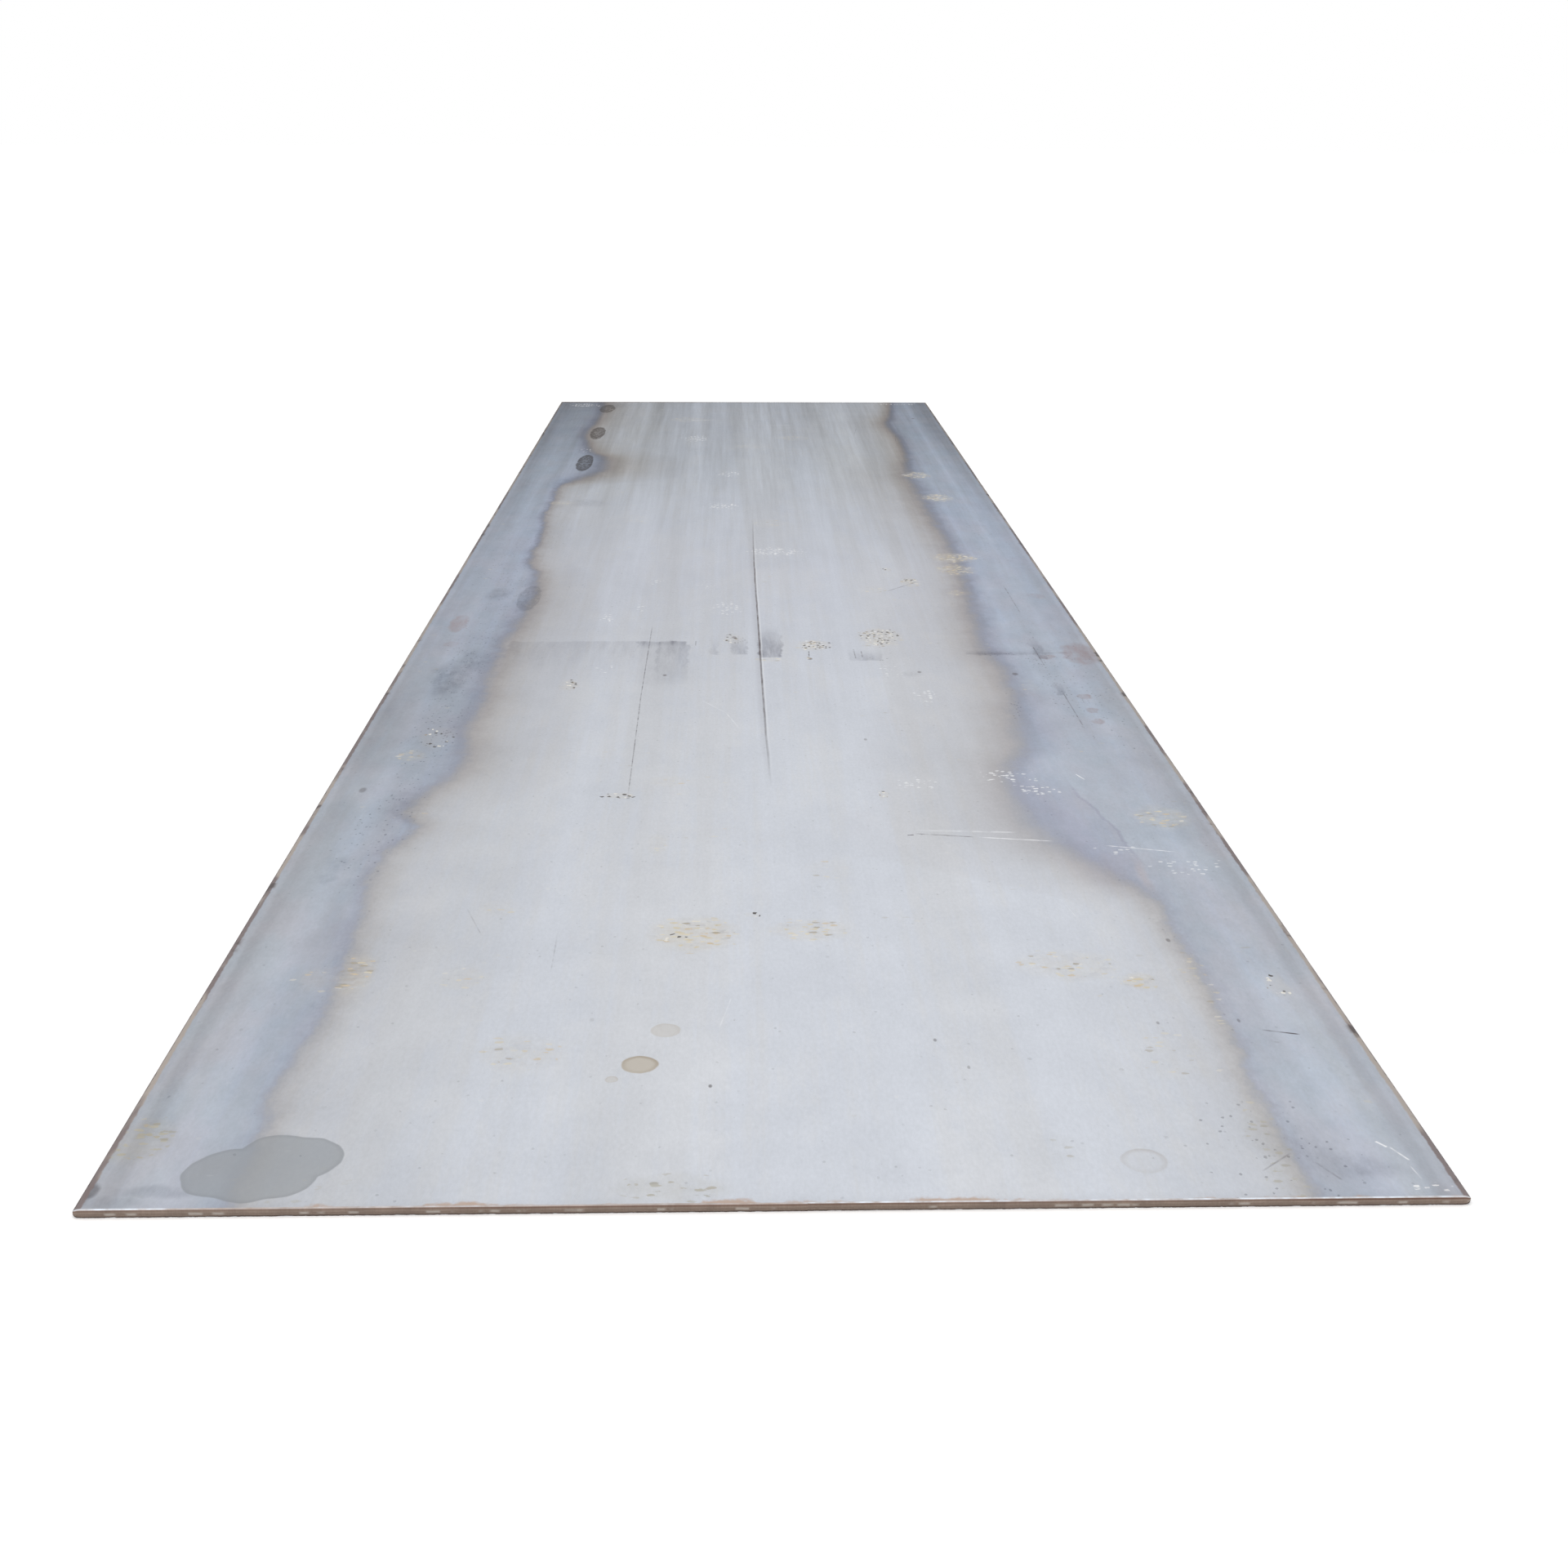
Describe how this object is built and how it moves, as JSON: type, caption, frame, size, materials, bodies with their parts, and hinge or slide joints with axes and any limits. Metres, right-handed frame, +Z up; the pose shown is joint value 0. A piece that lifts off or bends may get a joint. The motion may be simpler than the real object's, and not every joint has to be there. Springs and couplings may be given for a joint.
{
  "type": "steel plate",
  "caption": "Flat rectangular hot-rolled steel plate with rounded mill edges along its length and sheared ends.",
  "frame": {"origin": "centre of the underside, the face the plate rests on", "axes": "+X across the width, +Y along the length from the front sheared end to the back one, +Z up through the thickness"},
  "size_m": [1.5, 6, 0.01],
  "materials": {
    "mill_scale_steel": "satin mill scale with heat-tint bands and light rust"
  },
  "bodies": {
    "root": {"steel_plate": "mill_scale_steel"}
  },
  "joints": []
}
